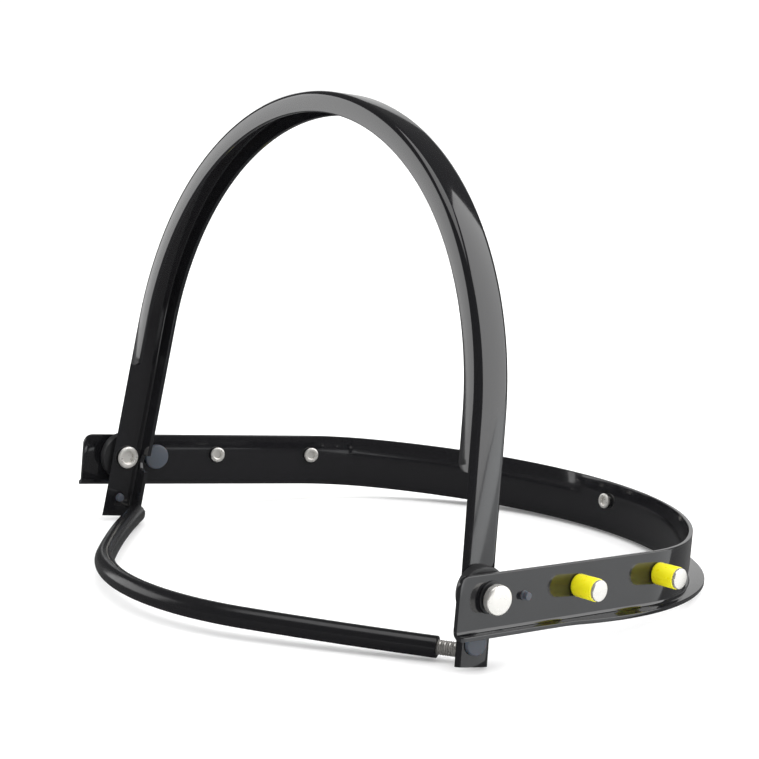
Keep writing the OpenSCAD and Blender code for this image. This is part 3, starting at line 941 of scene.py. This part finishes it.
def spring_end(path, size, bare, side):
    """Points of one end: the hook's loop, the link, and the coil that runs into the tube."""
    in_tube = 4 * MM
    link_off = 0.35 * MM
    loop = math.radians(330)
    loop_end = math.radians(12)
    per_turn = 16
    mean = size.spring_r - size.wire / 2
    first = size.hook_r + 0.9 * MM
    turns = (bare + in_tube - first) / size.wire
    count = int(turns * per_turn)
    hook = Vector((path.hook_x, 0.0, 0.0))
    inward = Vector((-math.cos(path.end), -math.sin(path.end), 0.0))
    start = math.atan2(inward.y, inward.x)
    points = []
    for i in range(25):
        a = start - loop * (1 - i / 24) - loop_end
        points.append(hook + size.hook_r * Vector((math.cos(a), math.sin(a), 0.0)))
    points.append(hook + inward * (size.hook_r + link_off) + Vector((0, 0, 0.25 * mean)))
    for i in range(count + 1):
        x, y, a = path.short_of_hook(first + i * size.wire / per_turn)
        out = Vector((math.sin(a), -math.cos(a), 0.0))
        t = math.tau * i / per_turn + math.pi / 2
        around = out * math.cos(t) + Vector((0, 0, math.sin(t)))
        points.append(Vector((x, y, 0.0)) + mean * around)
    return [IN_BOW @ Vector((side * p.x, p.y, p.z)) for p in points]


class BRACKET_OT_spring(bpy.types.Operator):
    """Make the spring's coils and hook loops where they show past the tube"""

    bl_idname = "bracket.spring"
    bl_label = "Bow Spring"

    def execute(self, context):
        size = context.scene.bracket_bow
        path = BowPath(size)
        bare = {"right": size.bare_right, "left": size.bare_left}
        for side_name, side in SIDES:
            points = spring_end(path, size, bare[side_name], side)
            mesh = wire_mesh(points, size.wire / 2)
            nodes = ["bow_spring"] if side > 0 else []
            add_piece(f"spring at {side_name} of bow", mesh, "bow", "spring_steel", nodes)
        return {"FINISHED"}


# ---- Studio ----

SKY_LIGHT = 1.0
SKY_GLOSS = 0.08
FLOOR_PALE = 0.93
FLOOR_GLOSS = 0.1
FLOOR_GLOW = 0.12


def add_light(name, place, target, width, height, power):
    """A rectangular soft light that faces a target."""
    lamp = bpy.data.lights.new(name, "AREA")
    lamp.shape = "RECTANGLE"
    lamp.size = width
    lamp.size_y = height
    lamp.energy = power
    holder = bpy.data.objects.new(name, lamp)
    bpy.context.scene.collection.objects.link(holder)
    toward = Vector(target) - Vector(place)
    holder.rotation_euler = toward.to_track_quat("-Z", "Y").to_euler()
    holder.location = place


def add_camera(target, distance, azimuth, elevation, roll, lens):
    """The scene's camera, looking at a target from an azimuth and elevation."""
    data = bpy.data.cameras.new("camera")
    data.lens = lens
    data.sensor_width = 36.0
    data.clip_end = 20.0
    holder = bpy.data.objects.new("camera", data)
    bpy.context.scene.collection.objects.link(holder)
    look = Vector((
        -math.sin(azimuth) * math.cos(elevation),
        math.cos(azimuth) * math.cos(elevation),
        -math.sin(elevation),
    ))
    turn = look.to_track_quat("-Z", "Y").to_matrix().to_4x4()
    holder.matrix_world = (Matrix.Translation(Vector(target) - look * distance) @ turn
                           @ Matrix.Rotation(roll, 4, "Z"))
    bpy.context.scene.camera = holder


def dimmed_in_gloss(tree, socket, plain, in_gloss):
    """Gives a socket one value in plain view and another one in glossy reflections."""
    path = tree.nodes.new("ShaderNodeLightPath")
    dim = tree.nodes.new("ShaderNodeMapRange")
    dim.inputs["To Min"].default_value = plain
    dim.inputs["To Max"].default_value = in_gloss
    tree.links.new(path.outputs["Is Glossy Ray"], dim.inputs["Value"])
    tree.links.new(dim.outputs["Result"], socket)


def studio_world():
    """White surroundings, which the gloss sees as a dim room."""
    world = bpy.data.worlds.new("studio")
    world.use_nodes = True
    tree = world.node_tree
    sky = tree.nodes["Background"]
    sky.inputs["Color"].default_value = (1.0, 1.0, 1.0, 1.0)
    dimmed_in_gloss(tree, sky.inputs["Strength"], SKY_LIGHT, SKY_GLOSS)
    return world


def add_sheet(name, place, width, depth, finish):
    """A flat sheet that lies at a place."""
    mesh = bmesh.new()
    bmesh.ops.create_grid(mesh, x_segments=1, y_segments=1, size=0.5)
    bmesh.ops.scale(mesh, vec=(width, depth, 1.0), verts=mesh.verts)
    bmesh.ops.translate(mesh, vec=place, verts=mesh.verts)
    data = bpy.data.meshes.new(name)
    mesh.to_mesh(data)
    mesh.free()
    data.materials.append(finish)
    sheet = bpy.data.objects.new(name, data)
    bpy.context.scene.collection.objects.link(sheet)
    return sheet


def add_floor():
    """The pale floor, and reflectors on it to the right that only the gloss sees."""
    finish, shader, tree = new_finish("pale floor", (FLOOR_PALE,) * 3, 0.6)
    dimmed_in_gloss(tree, shader.inputs["Base Color"], FLOOR_PALE, FLOOR_GLOSS)
    shader.inputs["Emission Color"].default_value = (1.0, 1.0, 1.0, 1.0)
    shader.inputs["Specular IOR Level"].default_value = 0.0
    dimmed_in_gloss(tree, shader.inputs["Emission Strength"], FLOOR_GLOW, 0.0)
    add_sheet("floor", (0.0, 0.0, 0.0), 40.0, 40.0, finish)
    add_reflector("near reflector", (0.3, 0.2, 0.0005), 0.35, 1.3, 0.95)
    add_reflector("far reflector", (0.9, 0.5, 0.0005), 0.85, 1.6, 2.2)


def add_reflector(name, place, width, depth, strength):
    """A glowing sheet that is seen only in reflections."""
    glow, shader, _ = new_finish(name, (0.0, 0.0, 0.0), 1.0)
    shader.inputs["Emission Color"].default_value = (0.97, 0.99, 1.0, 1.0)
    shader.inputs["Emission Strength"].default_value = strength
    card = add_sheet(name, place, width, depth, glow)
    card.visible_camera = False
    card.visible_diffuse = False
    card.visible_shadow = False


class BRACKET_OT_stage(bpy.types.Operator):
    """Make the floor, the soft lights and the camera"""

    bl_idname = "bracket.stage"
    bl_label = "Stage"

    def execute(self, context):
        scene = context.scene
        add_floor()
        scene.world = studio_world()
        scene.view_settings.view_transform = "Standard"
        middle = (0.0, 0.0, 0.06)
        add_light("overhead", (0.1, -0.2, 1.6), middle, 1.2, 1.2, 8.0)
        add_light("right", (0.95, 1.05, 0.8), middle, 1.9, 2.0, 26.0)
        add_light("left", (-1.2, -0.9, 0.45), middle, 1.3, 0.9, 7.0)
        add_light("front", (-1.5, 1.3, 0.42), middle, 1.7, 0.95, 2.6)
        add_camera(
            target=(-0.001, -0.0075, 0.07013), distance=0.8952,
            azimuth=math.radians(55.08), elevation=math.radians(10.69),
            roll=math.radians(1.15), lens=119.5,
        )
        return {"FINISHED"}


# ---- Panel and registration ----

OPERATORS = (
    BRACKET_OT_band,
    BRACKET_OT_arch,
    BRACKET_OT_hinges,
    BRACKET_OT_buttons,
    BRACKET_OT_studs,
    BRACKET_OT_tube,
    BRACKET_OT_spring,
    BRACKET_OT_stage,
)


class BRACKET_PT_panel(bpy.types.Panel):
    """Lists the bracket's pieces and sizes"""

    bl_idname = "BRACKET_PT_panel"
    bl_label = "Face Shield Bracket"
    bl_space_type = "VIEW_3D"
    bl_region_type = "UI"
    bl_category = "Bracket"

    def draw(self, context):
        layout = self.layout
        for operator in OPERATORS:
            layout.operator(operator.bl_idname)
        for group_name in SIZE_GROUPS:
            group = getattr(context.scene, group_name)
            box = layout.box()
            for name in group.__annotations__:
                box.prop(group, name)


def register():
    for group_name, group in SIZE_GROUPS.items():
        bpy.utils.register_class(group)
        setattr(bpy.types.Scene, group_name, bpy.props.PointerProperty(type=group))
    for operator in OPERATORS:
        bpy.utils.register_class(operator)
    bpy.utils.register_class(BRACKET_PT_panel)


def unregister():
    bpy.utils.unregister_class(BRACKET_PT_panel)
    for operator in reversed(OPERATORS):
        bpy.utils.unregister_class(operator)
    for group_name, group in SIZE_GROUPS.items():
        delattr(bpy.types.Scene, group_name)
        bpy.utils.unregister_class(group)


def main():
    register()
    bpy.ops.bracket.band()
    bpy.ops.bracket.arch()
    bpy.ops.bracket.hinges()
    bpy.ops.bracket.buttons()
    bpy.ops.bracket.studs()
    bpy.ops.bracket.tube()
    bpy.ops.bracket.spring()
    bpy.ops.bracket.stage()


if __name__ == "__main__":
    main()
